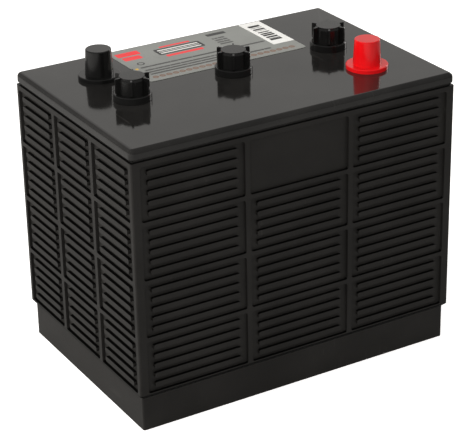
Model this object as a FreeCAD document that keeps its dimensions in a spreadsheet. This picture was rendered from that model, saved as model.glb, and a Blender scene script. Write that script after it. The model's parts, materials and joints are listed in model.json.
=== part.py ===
import FreeCAD
import Part
import Sketcher
import math
import os

# A six-volt flooded battery with three cells in a row: a ribbed plastic container with two partitions,
# a one-piece cover with three quarter-turn vent plugs, lead posts under push-on terminal covers, and in
# each cell a stack of plates and separators hung from two cast straps.
# Frame: X along the long side, Y across, Z up. The front is at -Y. The origin is the middle of the base.

SIZES = {
    # container
    "case_length": 264.0,
    "case_width": 178.0,
    "case_height": 205.7,
    "case_corner": 1.5,
    "wall": 4.6,
    "partition": 3.0,
    "floor_thickness": 3.5,
    "base_height": 26.0,
    "base_inset": 2.6,
    # recessed fields with raised ribs on the four walls
    "field_depth": 2.4,
    "field_corner": 1.8,
    "field_margin_long": 6.6,
    "field_margin_short": 4.1,
    "field_margin_top": 3.75,
    "field_margin_bottom": 1.6,
    "column_land": 3.8,
    "row_land": 3.25,
    "rib_gap": 3.5,
    "rib_end_gap": 5.4,
    "rib_corner": 1.3,
    # cover
    "seam_gap": 1.7,
    "seam_depth": 1.8,
    "cover_height": 7.8,
    "cover_thickness": 4.0,
    "cover_edge": 3.6,
    "cover_corner_spare": 0.2,
    "cover_lower_edge": 0.7,
    # filler wells in the cover
    "well_offset": 6.4,
    "well_wall": 1.8,
    "well_depth": 42.0,
    "ledge_height": 4.0,
    "level_slot_width": 5.0,
    "level_slot_height": 16.0,
    # vent plugs
    "collar_lip": 0.95,
    "collar_height": 5.0,
    "collar_lift": 0.2,
    "collar_edge": 0.7,
    "grip_inset": 3.75,
    "grip_top": 17.5,
    "disc_inset": 1.0,
    "disc_edge": 0.75,
    "shoulder_slope": 1.25,
    "fin_inset": 0.35,
    "fin_width": 1.4,
    "fin_drop": 0.3,
    "fin_corner": 0.5,
    "fin_foot": 1.3,
    "stem_radius": 9.9,
    "stem_wall": 1.9,
    "stem_depth": 24.0,
    "lug_length": 2.2,
    "lug_height": 2.8,
    "lug_width": 6.0,
    "lug_clearance": 0.35,
    "stop_width": 1.6,
    "plug_roof": 2.1,
    "vent_hole_radius": 0.7,
    # gasket, flame arrestor and splash baffle of each plug
    "gasket_thickness": 2.0,
    "gasket_gap": 0.7,
    "gasket_width": 2.2,
    "gasket_clearance": 0.2,
    "insert_clearance": 0.1,
    "arrestor_thickness": 3.0,
    "arrestor_shoulder": 1.0,
    "arrestor_top": 8.0,
    "baffle_plate": 1.5,
    "baffle_length": 11.0,
    "baffle_shield": 1.2,
    "baffle_shield_gap": 1.7,
    "baffle_stalk_radius": 2.0,
    "drain_radius": 1.2,
    "drain_inset": 2.9,
    # terminals
    "terminal_y": 44.6,
    "positive_top_radius": 8.73,
    "negative_top_radius": 7.94,
    "post_taper": 0.0555556,
    "post_height": 18.5,
    "pillar_radius": 6.0,
    "pillar_foot_inset": 2.0,
    "pillar_foot_height": 4.0,
    "lead_clearance": 0.1,
    "bushing_radius": 10.6,
    "bushing_ring": 1.2,
    "bushing_ring_height": 1.8,
    "bushing_depth": 12.0,
    "bushing_lip": 1.4,
    "bushing_flange": 1.4,
    "boss_wall": 2.4,
    "cap_wall": 0.6,
    "cap_clearance": 0.15,
    "cap_flange_wall": 3.2,
    "cap_flange_height": 3.0,
    "cap_headroom": 1.7,
    "cap_roof": 1.6,
    "cap_edge": 0.7,
    "cap_seat_clearance": 0.3,
    # plates, separators and straps
    "rest_height": 16.0,
    "rest_width": 3.0,
    "rest_inner_y": 24.0,
    "rest_outer_y": 60.0,
    "plate_side_clearance": 9.4,
    "plate_end_clearance": 1.5,
    "plate_headroom": 58.2,
    "positive_plate": 3.0,
    "negative_plate": 2.3,
    "separator_gap": 0.1,
    "separator_side_clearance": 5.4,
    "separator_rise": 6.0,
    "lug_plate_width": 14.0,
    "lug_plate_height": 16.0,
    "strap_width": 22.0,
    "strap_height": 8.0,
    "tab_thickness": 5.0,
    "tab_height": 17.0,
    "weld_radius": 6.5,
    # labels
    "label_left_inset": 25.93,
    "label_right_inset": 13.43,
    "label_plug_gap": 0.85,
    "label_edge_gap": 0.8,
    "label_corner": 3.0,
    "label_thickness": 0.3,
    "barcode_length": 18.0,
    "barcode_front_gap": 17.9,
    "barcode_back_gap": 0.4,
    "barcode_thickness": 0.15,
}

CELLS = (1, 2, 3)
FIELD_COLUMNS = 3
FIELD_ROWS = 4
FIELD_RIBS = 5
FINS = 6
POSITIVE_PLATES = 8

doc = FreeCAD.newDocument("deep_cycle_battery")
sheet = doc.addObject("Spreadsheet::Sheet", "D")
sheet.Label = "Dimensions"
for row, (alias, size) in enumerate(SIZES.items(), start=1):
    sheet.set(f"A{row}", alias)
    sheet.set(f"B{row}", str(size))
    sheet.setAlias(f"B{row}", alias)
doc.recompute()

# Lengths that several pieces share, each worked out from the sheet.
CELL_LENGTH = "(D.case_length - 2 * D.wall - 2 * D.partition) / 3"
CELL_PITCH = f"({CELL_LENGTH} + D.partition)"
CELL_WIDTH = "(D.case_width - 2 * D.wall)"
COVER_TOP = "(D.case_height + D.seam_gap + D.cover_height)"
STEP_TOP = "(D.base_height + D.base_inset)"
FIELD_BOTTOM = f"({STEP_TOP} + D.field_margin_bottom)"
FIELD_HEIGHT = (
    f"((D.case_height - D.field_margin_top - {FIELD_BOTTOM}"
    f" - {FIELD_ROWS - 1} * D.row_land) / {FIELD_ROWS})"
)
RIB_HEIGHT = f"(({FIELD_HEIGHT} - {FIELD_RIBS + 1} * D.rib_gap) / {FIELD_RIBS})"
RIB_CORNER = f"min(D.rib_corner; {RIB_HEIGHT} / 3)"
GASKET_SEAT = "(D.gasket_thickness - D.collar_lift)"
GASKET_INNER = "(D.stem_radius + D.gasket_gap)"
GASKET_OUTER = f"({GASKET_INNER} + D.gasket_width)"
COLLAR_RADIUS = f"({GASKET_OUTER} + D.collar_lip)"
GRIP_RADIUS = f"({COLLAR_RADIUS} - D.grip_inset)"
DISC_RADIUS = f"({GRIP_RADIUS} - D.disc_inset)"
FIN_RADIUS = f"({COLLAR_RADIUS} - D.fin_inset)"
COLLAR_TOP = "(D.collar_lift + D.collar_height)"
PLUG_BORE_TOP = "(D.grip_top - D.plug_roof)"
LUG_RADIUS = "(D.stem_radius + D.lug_length)"
LUG_REACH = f"sqrt({LUG_RADIUS} ^ 2 - (D.lug_width / 2) ^ 2)"
LEDGE_BOTTOM = f"({GASKET_SEAT} + D.ledge_height)"
LEDGE_RADIUS = "(D.stem_radius + D.lug_clearance)"
WELL_RADIUS = f"({LUG_RADIUS} + D.lug_clearance)"
WELL_OUTER = f"({WELL_RADIUS} + D.well_wall)"
PLATE_BOTTOM = "(D.floor_thickness + D.rest_height)"
PLATE_TOP = "(D.case_height - D.plate_headroom)"
STRAP_BOTTOM = f"({PLATE_TOP} + D.lug_plate_height)"
STRAP_TOP = f"({STRAP_BOTTOM} + D.strap_height)"
STACK_LENGTH = f"({CELL_LENGTH} - 2 * D.plate_end_clearance)"
PLATE_PITCH = f"(({STACK_LENGTH} - D.negative_plate) / {POSITIVE_PLATES})"
SEPARATOR = f"(({PLATE_PITCH} - D.positive_plate - D.negative_plate) / 2 - 2 * D.separator_gap)"
BUSHING_HOUSING = "(D.bushing_radius + D.bushing_ring)"
BOSS_RADIUS = f"({BUSHING_HOUSING} + D.boss_wall)"
BUSHING_FLANGE = "(D.bushing_radius + D.bushing_lip)"
CAP_SEAT = f"({BUSHING_FLANGE} + D.cap_seat_clearance)"
CAP_FLANGE = f"({CAP_SEAT} + D.cap_flange_wall)"
CAP_HEIGHT = "(D.post_height + D.cap_headroom + D.cap_roof)"
WELD_LEVEL = f"({STRAP_TOP} + D.tab_height / 2)"
PLUG_BORE = "(D.stem_radius - D.stem_wall)"
INSERT_RADIUS = f"({PLUG_BORE} - D.insert_clearance)"
LABEL_FRONT = f"({COLLAR_RADIUS} + D.label_plug_gap)"
LABEL_BACK = "(D.case_width / 2 - D.cover_edge - D.label_edge_gap)"
LABEL_RIGHT = f"({CELL_PITCH} - D.label_right_inset)"

CELL_X = {1: f"-{CELL_PITCH}", 2: "0", 3: CELL_PITCH}
WELLS = {1: (CELL_X[1], "-D.well_offset"), 2: (CELL_X[2], "0"), 3: (CELL_X[3], "D.well_offset")}
TERMINALS = {"positive": ("", "-"), "negative": ("-", "")}


def number(expression):
    """The present value of an expression of the sheet."""
    return float(sheet.evalExpression(expression))


def new_body(label):
    body = doc.addObject("PartDesign::Body", label)
    body.Label = label
    return body


def place(body, x="0", y="0", z="0"):
    body.setExpression("Placement.Base.x", x)
    body.setExpression("Placement.Base.y", y)
    body.setExpression("Placement.Base.z", z)


def origin_feature(body, role):
    return next(item for item in body.Origin.OriginFeatures if item.Role == role)


def new_sketch(body, name, plane="XY_Plane", level="0"):
    sketch = body.newObject("Sketcher::SketchObject", name)
    sketch.AttachmentSupport = [(origin_feature(body, plane), "")]
    sketch.MapMode = "FlatFace"
    sketch.setExpression("AttachmentOffset.Base.z", level)
    return sketch


def dimension(sketch, kind, *references, size):
    """A driving dimension of a sketch, bound to an expression of the sheet."""
    index = sketch.addConstraint(Sketcher.Constraint(kind, *references, number(size)))
    sketch.setExpression(f"Constraints[{index}]", size)


def fix_point(sketch, geometry, point, x, y):
    dimension(sketch, "DistanceX", -1, 1, geometry, point, size=x)
    dimension(sketch, "DistanceY", -1, 1, geometry, point, size=y)


def draw_circle(sketch, x, y, radius):
    centre = FreeCAD.Vector(number(x), number(y), 0)
    circle = sketch.addGeometry(Part.Circle(centre, FreeCAD.Vector(0, 0, 1), number(radius)))
    fix_point(sketch, circle, 3, x, y)
    dimension(sketch, "Radius", circle, size=radius)


def draw_polygon(sketch, corners):
    """A closed outline whose corners are pairs of expressions."""
    points = [FreeCAD.Vector(number(x), number(y), 0) for x, y in corners]
    ends = points[1:] + points[:1]
    lines = [sketch.addGeometry(Part.LineSegment(a, b)) for a, b in zip(points, ends)]
    for line, following in zip(lines, lines[1:] + lines[:1]):
        sketch.addConstraint(Sketcher.Constraint("Coincident", line, 2, following, 1))
    for line, (x, y) in zip(lines, corners):
        fix_point(sketch, line, 1, x, y)


def draw_rectangle(sketch, left, right, bottom, top):
    draw_polygon(sketch, [(left, bottom), (right, bottom), (right, top), (left, top)])


def draw_rounded_rectangle(sketch, left, right, bottom, top, corner):
    """A rectangle with four equal rounded corners, held by its sides and the corner radius."""
    x0, x1, y0, y1, r = (number(size) for size in (left, right, bottom, top, corner))
    quarter = math.pi / 2
    sides = [((x0 + r, y0), (x1 - r, y0)), ((x1, y0 + r), (x1, y1 - r)),
             ((x1 - r, y1), (x0 + r, y1)), ((x0, y1 - r), (x0, y0 + r))]
    centres = [(x1 - r, y0 + r), (x1 - r, y1 - r), (x0 + r, y1 - r), (x0 + r, y0 + r)]
    lines = []
    arcs = []
    for turn, ((start, end), centre) in enumerate(zip(sides, centres)):
        segment = Part.LineSegment(FreeCAD.Vector(*start, 0), FreeCAD.Vector(*end, 0))
        lines.append(sketch.addGeometry(segment))
        circle = Part.Circle(FreeCAD.Vector(*centre, 0), FreeCAD.Vector(0, 0, 1), r)
        arc = Part.ArcOfCircle(circle, (turn - 1) * quarter, turn * quarter)
        arcs.append(sketch.addGeometry(arc))
    for turn in range(4):
        sketch.addConstraint(Sketcher.Constraint("Tangent", lines[turn], 2, arcs[turn], 1))
        sketch.addConstraint(Sketcher.Constraint("Tangent", arcs[turn], 2, lines[(turn + 1) % 4], 1))
        direction = "Horizontal" if turn % 2 == 0 else "Vertical"
        sketch.addConstraint(Sketcher.Constraint(direction, lines[turn]))
    for arc in arcs[1:]:
        sketch.addConstraint(Sketcher.Constraint("Equal", arcs[0], arc))
    dimension(sketch, "Radius", arcs[0], size=corner)
    dimension(sketch, "DistanceY", -1, 1, lines[0], 1, size=bottom)
    dimension(sketch, "DistanceX", -1, 1, lines[1], 1, size=right)
    dimension(sketch, "DistanceY", -1, 1, lines[2], 1, size=top)
    dimension(sketch, "DistanceX", -1, 1, lines[3], 1, size=left)


def extrude(body, kind, name, sketch, length, reverse=False):
    feature = body.newObject(f"PartDesign::{kind}", name)
    feature.Profile = sketch
    feature.setExpression("Length", length)
    feature.Reversed = reverse
    return feature


def pad(body, name, sketch, length, reverse=False):
    return extrude(body, "Pad", name, sketch, length, reverse)


def pocket(body, name, sketch, length, reverse=False):
    before = body.Tip.Shape.Volume if body.Tip.Shape.isValid() else 0
    feature = extrude(body, "Pocket", name, sketch, length, reverse)
    doc.recompute()
    if not feature.Shape.Volume < before - 1e-6:
        raise RuntimeError(f"{body.Label}: {name} removes nothing")
    return feature


def turned(body, name, corners, kind="Revolution", x="0", y="0"):
    """A solid turned about an upright axis at x, y, from (radius, height) corners."""
    sketch = new_sketch(body, f"{name}_profile", "XZ_Plane", f"-({y})")
    sketch.setExpression("AttachmentOffset.Base.x", x)
    draw_polygon(sketch, corners)
    feature = body.newObject(f"PartDesign::{kind}", name)
    feature.Profile = sketch
    feature.ReferenceAxis = (sketch, ["V_Axis"])
    feature.Angle = 360
    return feature


def linear_pattern(body, name, axis, originals, length, count):
    pattern = body.newObject("PartDesign::LinearPattern", name)
    pattern.Originals = originals
    pattern.Direction = (origin_feature(body, axis), [""])
    pattern.setExpression("Length", length)
    pattern.Occurrences = count
    body.Tip = pattern
    return pattern


def polar_pattern(body, name, originals, count):
    pattern = body.newObject("PartDesign::PolarPattern", name)
    pattern.Originals = originals
    pattern.Axis = (origin_feature(body, "Z_Axis"), [""])
    pattern.Angle = 360
    pattern.Occurrences = count
    body.Tip = pattern
    return pattern


def grid_pattern(body, name, originals, steps, mirror):
    """Copies of features along several axes, and the same again on the opposite wall."""
    grid = body.newObject("PartDesign::MultiTransform", name)
    grid.Originals = originals
    moves = []
    for axis, length, count in steps:
        move = body.newObject("PartDesign::LinearPattern", f"{name}_{axis[0].lower()}")
        move.Direction = (origin_feature(body, axis), [""])
        move.setExpression("Length", length)
        move.Occurrences = count
        moves.append(move)
    across = body.newObject("PartDesign::Mirrored", f"{name}_across")
    across.MirrorPlane = (origin_feature(body, mirror), [""])
    grid.Transformations = moves + [across]
    body.Tip = grid
    return grid


def edges_where(shape, test):
    return [f"Edge{i}" for i, edge in enumerate(shape.Edges, start=1) if test(edge)]


def at_level(edge, level):
    box = edge.BoundBox
    return abs(box.ZMin - level) < 1e-4 and abs(box.ZMax - level) < 1e-4


def circle_at(level, radius):
    """A test for the edges of a circle about the Z axis with this level and radius."""
    return lambda edge: at_level(edge, number(level)) and abs(edge.BoundBox.XMax - number(radius)) < 1e-3


def on_case_outline(edge):
    box = edge.BoundBox
    at_end = max(-box.XMin, box.XMax) > number("D.case_length / 2") - 1e-3
    at_side = max(-box.YMin, box.YMax) > number("D.case_width / 2") - 1e-3
    return at_end or at_side


def soften(body, kind, name, base, edges, size):
    """A fillet or a chamfer on named edges of the feature base."""
    feature = body.newObject(f"PartDesign::{kind}", name)
    feature.Base = (base, edges)
    feature.setExpression("Radius" if kind == "Fillet" else "Size", size)
    return feature


def draw_first_cell(sketch):
    """The inside of the first cell, at the -X end; patterns repeat it for the others."""
    left = f"-{CELL_PITCH} - {CELL_LENGTH} / 2"
    right = f"-{CELL_PITCH} + {CELL_LENGTH} / 2"
    draw_rectangle(sketch, left, right, f"-{CELL_WIDTH} / 2", f"{CELL_WIDTH} / 2")


def draw_case_outline(sketch, inset="0", corner="D.case_corner"):
    half_length = f"(D.case_length / 2 - {inset})"
    half_width = f"(D.case_width / 2 - {inset})"
    sides = (f"-{half_length}", half_length, f"-{half_width}", half_width)
    draw_rounded_rectangle(sketch, *sides, corner)


def ribbed_fields(body, tag, wall_plane, reach, span, margin, run_axis):
    """Recessed fields in rows and columns on one wall and its opposite; the ribs are left standing."""
    width = f"(({span} - 2 * {margin} - {FIELD_COLUMNS - 1} * D.column_land) / {FIELD_COLUMNS})"
    left = f"-{span} / 2 + {margin}"
    right = f"{left} + {width}"
    top = f"{FIELD_BOTTOM} + {FIELD_HEIGHT}"
    sketch = new_sketch(body, f"{tag}_field", wall_plane, f"{reach} / 2")
    draw_rounded_rectangle(sketch, left, right, FIELD_BOTTOM, top, "D.field_corner")
    for rib in range(FIELD_RIBS):
        low = f"{FIELD_BOTTOM} + D.rib_gap + {rib} * ({RIB_HEIGHT} + D.rib_gap)"
        ends = (f"{left} + D.rib_end_gap", f"{right} - D.rib_end_gap")
        draw_rounded_rectangle(sketch, *ends, low, f"{low} + {RIB_HEIGHT}", RIB_CORNER)
    field = pocket(body, f"{tag}_field_cut", sketch, "D.field_depth")
    steps = [
        (run_axis, f"{FIELD_COLUMNS - 1} * ({width} + D.column_land)", FIELD_COLUMNS),
        ("Z_Axis", f"{FIELD_ROWS - 1} * ({FIELD_HEIGHT} + D.row_land)", FIELD_ROWS),
    ]
    grid_pattern(body, f"{tag}_fields", [field], steps, wall_plane)


def plain_field(body):
    """The middle field of the top row has no ribs, on the front and on the back."""
    lands = f"{FIELD_COLUMNS - 1} * D.column_land"
    width = f"((D.case_length - 2 * D.field_margin_long - {lands}) / {FIELD_COLUMNS})"
    bottom = f"{FIELD_BOTTOM} + {FIELD_ROWS - 1} * ({FIELD_HEIGHT} + D.row_land)"
    sides = (f"-{width} / 2", f"{width} / 2", bottom, f"{bottom} + {FIELD_HEIGHT}")
    sketch = new_sketch(body, "plain_field", "XZ_Plane", "D.case_width / 2")
    draw_rounded_rectangle(sketch, *sides, "D.field_corner")
    field = pocket(body, "plain_field_cut", sketch, "D.field_depth")
    grid_pattern(body, "plain_fields", [field], [], "XZ_Plane")


def make_container():
    body = new_body("container")
    base = new_sketch(body, "base_outline")
    draw_case_outline(base, "D.base_inset")
    pad(body, "base", base, "D.base_height")
    step_low = new_sketch(body, "step_low", level="D.base_height")
    draw_case_outline(step_low, "D.base_inset")
    step_high = new_sketch(body, "step_high", level=STEP_TOP)
    draw_case_outline(step_high)
    step = body.newObject("PartDesign::AdditiveLoft", "step")
    step.Profile = step_low
    step.Sections = [step_high]
    step.Ruled = True
    upper = new_sketch(body, "upper_outline", level=STEP_TOP)
    draw_case_outline(upper)
    pad(body, "upper_block", upper, f"D.case_height - {STEP_TOP}")
    doc.recompute()
    cell = new_sketch(body, "cell_outline", level="D.case_height")
    draw_first_cell(cell)
    cavity = pocket(body, "cell", cell, "D.case_height - D.floor_thickness")
    linear_pattern(body, "cells", "X_Axis", [cavity], f"2 * {CELL_PITCH}", len(CELLS))
    rests = new_sketch(body, "element_rest_lines", level="D.floor_thickness")
    inside = "(D.case_length / 2 - D.wall)"
    for middle in ("-D.rest_outer_y", "-D.rest_inner_y", "D.rest_inner_y", "D.rest_outer_y"):
        low = f"{middle} - D.rest_width / 2"
        high = f"{middle} + D.rest_width / 2"
        draw_rectangle(rests, f"-{inside}", inside, low, high)
    pad(body, "element_rests", rests, "D.rest_height")
    doc.recompute()
    for sign in ("-", ""):
        side = "left" if sign else "right"
        face = f"{sign}{CELL_PITCH} / 2 + D.partition / 2"
        hole = new_sketch(body, f"{side}_weld_circle", "YZ_Plane", face)
        draw_circle(hole, f"{sign}D.terminal_y", WELD_LEVEL, "D.weld_radius + D.lead_clearance")
        pocket(body, f"{side}_weld_hole", hole, "D.partition")
    length, width = "D.case_length", "D.case_width"
    ribbed_fields(body, "long", "XZ_Plane", width, length, "D.field_margin_long", "X_Axis")
    doc.recompute()
    plain_field(body)
    doc.recompute()
    ribbed_fields(body, "short", "YZ_Plane", length, width, "D.field_margin_short", "Y_Axis")
    return body


def bushing_outline(extra="0"):
    """The part of a terminal bushing that is held in the cover, as (radius, height) corners."""
    shank = f"D.bushing_radius + {extra}"
    ring = f"{BUSHING_HOUSING} + {extra}"
    corners = [(shank, "-D.bushing_depth")]
    for place_of_ring in (1, 3):
        low = f"-D.bushing_depth + {place_of_ring} * D.bushing_ring_height"
        high = f"{low} + D.bushing_ring_height"
        corners += [(shank, low), (ring, low), (ring, high), (shank, high)]
    return corners + [(shank, "0")]


def make_well(body, cell):
    """A filler well: a tube under the lid, a seat for the gasket, and a ledge with two lug slots."""
    x, y = WELLS[cell]
    tube_circle = new_sketch(body, f"well_circle_{cell}", level="-D.well_depth")
    draw_circle(tube_circle, x, y, WELL_OUTER)
    pad(body, f"well_tube_{cell}", tube_circle, "D.well_depth - D.cover_thickness")
    seat_radius = f"{GASKET_OUTER} + D.gasket_clearance"
    corners = [
        ("0", "0"),
        (seat_radius, "0"),
        (seat_radius, f"-{GASKET_SEAT}"),
        (LEDGE_RADIUS, f"-{GASKET_SEAT}"),
        (LEDGE_RADIUS, f"-{LEDGE_BOTTOM}"),
        (WELL_RADIUS, f"-{LEDGE_BOTTOM}"),
        (WELL_RADIUS, "-D.well_depth"),
        ("0", "-D.well_depth"),
    ]
    turned(body, f"well_bore_{cell}", corners, "Groove", x, y)
    doc.recompute()
    slot = new_sketch(body, f"lug_slot_outline_{cell}", level=f"-{GASKET_SEAT}")
    reach = f"({LUG_REACH} + D.lug_clearance)"
    half = "(D.lug_width / 2 + D.lug_clearance)"
    draw_rectangle(slot, f"{x} - {reach}", f"{x} + {reach}", f"{y} - {half}", f"{y} + {half}")
    pocket(body, f"lug_slots_{cell}", slot, "D.ledge_height")
    stops = new_sketch(body, f"lug_stop_outlines_{cell}", level=f"-{LEDGE_BOTTOM} - D.lug_height")
    far = f"({half} + D.stop_width)"
    tube_middle = f"({WELL_RADIUS} + D.well_wall / 2)"
    inner = f"({LEDGE_RADIUS} + D.lug_clearance)"
    draw_rectangle(stops, f"{x} - {far}", f"{x} - {half}", f"{y} - {tube_middle}", f"{y} - {inner}")
    draw_rectangle(stops, f"{x} + {half}", f"{x} + {far}", f"{y} + {inner}", f"{y} + {tube_middle}")
    pad(body, f"lug_stops_{cell}", stops, "D.lug_height")
    doc.recompute()
    level = new_sketch(body, f"level_slot_outline_{cell}", "XZ_Plane", f"{WELL_OUTER} + 1 - ({y})")
    low, high = "-D.well_depth", "-D.well_depth + D.level_slot_height"
    half_slot = "D.level_slot_width / 2"
    draw_rectangle(level, f"{x} - {half_slot}", f"{x} + {half_slot}", low, high)
    pocket(body, f"level_slot_{cell}", level, f"2 * {WELL_OUTER} + 2")


def make_cover():
    body = new_body("cover")
    place(body, z=COVER_TOP)
    land = new_sketch(body, "weld_land_outline", level="-D.cover_height - D.seam_gap")
    draw_case_outline(land, "D.seam_depth")
    pad(body, "weld_land", land, "D.seam_gap")
    lid = new_sketch(body, "lid_outline", level="-D.cover_height")
    draw_case_outline(lid, corner="D.cover_edge + D.cover_corner_spare")
    top = pad(body, "lid", lid, "D.cover_height")
    doc.recompute()
    rim = edges_where(top.Shape, lambda edge: at_level(edge, 0))
    rounded = soften(body, "Fillet", "lid_edge", top, rim, "D.cover_edge")
    doc.recompute()
    underside = number("-D.cover_height")
    lower = edges_where(rounded.Shape, lambda edge: at_level(edge, underside) and on_case_outline(edge))
    soften(body, "Chamfer", "lid_lower_edge", rounded, lower, "D.cover_lower_edge")
    doc.recompute()
    cell = new_sketch(body, "cell_outline", level="-D.cover_height - D.seam_gap")
    draw_first_cell(cell)
    depth = "D.cover_height + D.seam_gap - D.cover_thickness"
    recess = pocket(body, "cell_recess", cell, depth, reverse=True)
    linear_pattern(body, "cell_recesses", "X_Axis", [recess], f"2 * {CELL_PITCH}", len(CELLS))
    for cell in CELLS:
        make_well(body, cell)
    for name, (x_sign, y_sign) in TERMINALS.items():
        x = f"{x_sign}{CELL_PITCH}"
        y = f"{y_sign}D.terminal_y"
        boss = new_sketch(body, f"{name}_boss_circle", level="-D.bushing_depth")
        draw_circle(boss, x, y, BOSS_RADIUS)
        pad(body, f"{name}_boss", boss, "D.bushing_depth - D.cover_thickness")
        corners = bushing_outline("D.lead_clearance")
        ends = [("0", "0"), ("0", "-D.bushing_depth")]
        turned(body, f"{name}_housing", corners + ends, "Groove", x, y)
    return body


def make_vent_plug(cell):
    """A hollow quarter-turn plug: stem with two lugs, round collar and a grip with six fins."""
    body = new_body(f"vent_plug_{cell}")
    place(body, *WELLS[cell], COVER_TOP)
    corners = [
        ("0", "-D.stem_depth"),
        ("D.stem_radius", "-D.stem_depth"),
        ("D.stem_radius", "D.collar_lift"),
        (COLLAR_RADIUS, "D.collar_lift"),
        (COLLAR_RADIUS, COLLAR_TOP),
        (GRIP_RADIUS, COLLAR_TOP),
        (GRIP_RADIUS, "D.grip_top - D.disc_edge - D.shoulder_slope"),
        (DISC_RADIUS, "D.grip_top - D.disc_edge"),
        (DISC_RADIUS, "D.grip_top"),
        ("0", "D.grip_top"),
    ]
    outside = turned(body, "outside", corners)
    doc.recompute()
    rim = edges_where(outside.Shape, circle_at(COLLAR_TOP, COLLAR_RADIUS))
    soften(body, "Fillet", "collar_rim", outside, rim, "D.collar_edge")
    doc.recompute()
    fin_outline = new_sketch(body, "fin_outline", "XZ_Plane", "-D.fin_width / 2")
    root = f"{DISC_RADIUS} - D.fin_width"
    fin_top = "(D.grip_top - D.fin_drop)"
    fin_corners = [
        (root, COLLAR_TOP),
        (f"{FIN_RADIUS} - D.fin_foot", COLLAR_TOP),
        (FIN_RADIUS, f"{COLLAR_TOP} + D.fin_foot"),
        (FIN_RADIUS, f"{fin_top} - D.fin_corner"),
        (f"{FIN_RADIUS} - D.fin_corner", fin_top),
        (root, fin_top),
    ]
    draw_polygon(fin_outline, fin_corners)
    fin = pad(body, "fin", fin_outline, "D.fin_width")
    polar_pattern(body, "fins", [fin], FINS)
    doc.recompute()
    lugs = new_sketch(body, "lug_outline", level=f"-{LEDGE_BOTTOM} - D.lug_clearance - D.lug_height")
    half = "D.lug_width / 2"
    draw_rectangle(lugs, f"-{LUG_REACH}", LUG_REACH, f"-{half}", half)
    pad(body, "lugs", lugs, "D.lug_height")
    inside = [
        ("0", "-D.stem_depth"),
        (PLUG_BORE, "-D.stem_depth"),
        (PLUG_BORE, "D.arrestor_top"),
        (f"{PLUG_BORE} - D.arrestor_shoulder", "D.arrestor_top"),
        (f"{PLUG_BORE} - D.arrestor_shoulder", PLUG_BORE_TOP),
        ("0", PLUG_BORE_TOP),
    ]
    turned(body, "inside", inside, "Groove")
    doc.recompute()
    vent = new_sketch(body, "vent_circle", "XZ_Plane")
    draw_circle(vent, "0", f"(D.arrestor_top + {PLUG_BORE_TOP}) / 2", "D.vent_hole_radius")
    pocket(body, "vent_hole", vent, GRIP_RADIUS)


def make_vent_gasket(cell):
    body = new_body(f"vent_gasket_{cell}")
    place(body, *WELLS[cell], f"{COVER_TOP} - {GASKET_SEAT}")
    corners = [
        (GASKET_INNER, "0"),
        (GASKET_OUTER, "0"),
        (GASKET_OUTER, "D.gasket_thickness"),
        (GASKET_INNER, "D.gasket_thickness"),
    ]
    turned(body, "ring", corners)


def make_flame_arrestor(cell):
    body = new_body(f"flame_arrestor_{cell}")
    place(body, *WELLS[cell], f"{COVER_TOP} + D.arrestor_top - D.arrestor_thickness")
    disc = new_sketch(body, "disc_circle")
    draw_circle(disc, "0", "0", INSERT_RADIUS)
    pad(body, "disc", disc, "D.arrestor_thickness")


def make_vent_baffle(cell):
    """A drain plate with four holes that carries a splash shield on a stalk."""
    body = new_body(f"vent_baffle_{cell}")
    place(body, *WELLS[cell], f"{COVER_TOP} - D.stem_depth")
    shield_bottom = "D.baffle_length - D.baffle_shield"
    shield_radius = f"{INSERT_RADIUS} - D.baffle_shield_gap"
    corners = [
        ("0", "0"),
        (INSERT_RADIUS, "0"),
        (INSERT_RADIUS, "D.baffle_plate"),
        ("D.baffle_stalk_radius", "D.baffle_plate"),
        ("D.baffle_stalk_radius", shield_bottom),
        (shield_radius, shield_bottom),
        (shield_radius, "D.baffle_length"),
        ("0", "D.baffle_length"),
    ]
    turned(body, "outside", corners)
    doc.recompute()
    drain = new_sketch(body, "drain_circle", level="D.baffle_plate")
    draw_circle(drain, f"{INSERT_RADIUS} - D.drain_inset", "0", "D.drain_radius")
    hole = pocket(body, "drain", drain, "D.baffle_plate")
    polar_pattern(body, "drains", [hole], 4)


def post_radius(polarity, height):
    """The tapered post's radius at a height over the cover."""
    return f"(D.{polarity}_top_radius + (D.post_height - ({height})) * D.post_taper)"


def make_terminal_bushing(polarity):
    """A lead bushing moulded into the cover; its upper part is the tapered terminal post."""
    x_sign, y_sign = TERMINALS[polarity]
    body = new_body(f"{polarity}_terminal_bushing")
    place(body, f"{x_sign}{CELL_PITCH}", f"{y_sign}D.terminal_y", COVER_TOP)
    bore = "D.pillar_radius + D.lead_clearance"
    corners = [
        (bore, "-D.bushing_depth"),
        *bushing_outline(),
        (BUSHING_FLANGE, "0"),
        (BUSHING_FLANGE, "D.bushing_flange"),
        (post_radius(polarity, "D.bushing_flange"), "D.bushing_flange"),
        (f"D.{polarity}_top_radius", "D.post_height"),
        (bore, "D.post_height"),
    ]
    turned(body, "bushing", corners)


def make_terminal_pillar(polarity):
    """The pillar that rises from an end strap and is burned into the bushing's top."""
    x_sign, y_sign = TERMINALS[polarity]
    body = new_body(f"{polarity}_terminal_pillar")
    place(body, f"{x_sign}{CELL_PITCH}", f"{y_sign}D.terminal_y", STRAP_TOP)
    top = f"({COVER_TOP} + D.post_height - {STRAP_TOP})"
    foot = "D.strap_width / 2 - D.pillar_foot_inset"
    corners = [
        ("0", "0"),
        (foot, "0"),
        (foot, "D.pillar_foot_height"),
        ("D.pillar_radius", "D.pillar_foot_height"),
        ("D.pillar_radius", top),
        ("0", top),
    ]
    turned(body, "pillar", corners)


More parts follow.
